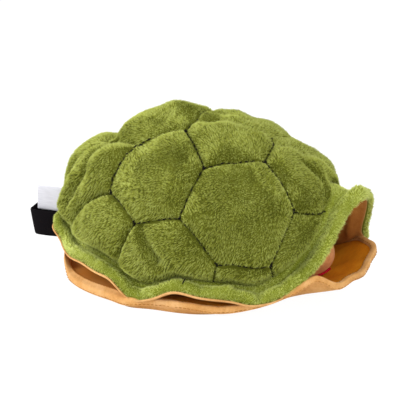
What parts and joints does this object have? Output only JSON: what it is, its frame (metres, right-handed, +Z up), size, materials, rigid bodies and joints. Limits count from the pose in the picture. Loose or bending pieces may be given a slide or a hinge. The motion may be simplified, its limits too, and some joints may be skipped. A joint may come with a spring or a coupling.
{
  "type": "turtle hand puppet",
  "caption": "Plush turtle hand puppet: quilted domed upper shell over a padded under shell, hand entry at the rear, and a head on a finger pocket that slides out at the front.",
  "frame": {"origin": "on the table, at the middle of the flat underside of the under shell", "axes": "+X towards the head end, +Y to the turtle's left, +Z up from the table"},
  "size_m": [0.2966, 0.1882, 0.1357],
  "materials": {
    "plush_green": "short plush pile",
    "wadding_white": "loose polyester wadding",
    "lining_brown": "plain woven lining",
    "velour_tan": "short velour",
    "lining_orange": "plain woven lining",
    "velour_pink": "short velour",
    "eye_black": "polished bead",
    "thread_red": "heavy embroidery thread",
    "webbing_black": "woven webbing",
    "ribbon_white": "satin ribbon"
  },
  "bodies": {
    "shell": {"carapace_cover": "plush_green", "carapace_wadding": "wadding_white", "carapace_lining": "lining_brown", "rim_band": "plush_green", "rim_facing": "velour_tan", "plastron_cover": "velour_tan", "plastron_wadding": "wadding_white", "plastron_lining": "lining_orange", "plastron_hem": "velour_tan", "side_gusset_left": "lining_brown", "side_gusset_right": "lining_brown", "hand_cuff": "velour_tan", "hand_sleeve": "velour_tan", "neck_sleeve": "velour_pink"},
    "finger_slide": {"head_pocket": "lining_brown"},
    "head": {"head_cover": "velour_pink", "head_stuffing": "wadding_white", "eye_left": "eye_black", "eye_right": "eye_black", "mouth_line": "thread_red"},
    "loop": {"hang_loop": "webbing_black", "label": "ribbon_white"}
  },
  "joints": [
    {"name": "head_slide", "type": "slide", "parent": "shell", "child": "finger_slide", "axis": [0.9613, 0, 0.2756], "range_m": [0, 0.06], "deforming": ["neck_sleeve"]},
    {"name": "head_nod", "type": "hinge", "parent": "finger_slide", "child": "head", "pos_m": [0.058, 0, 0.033], "axis": [0, -1, 0], "range_deg": [0, 12]},
    {"name": "loop_swing", "type": "hinge", "parent": "shell", "child": "loop", "pos_m": [-0.1329, 0, 0.0375], "axis": [0, 0, 1], "range_deg": [-35, 35], "stiffness_Nm_per_rad": 0.004}
  ]
}
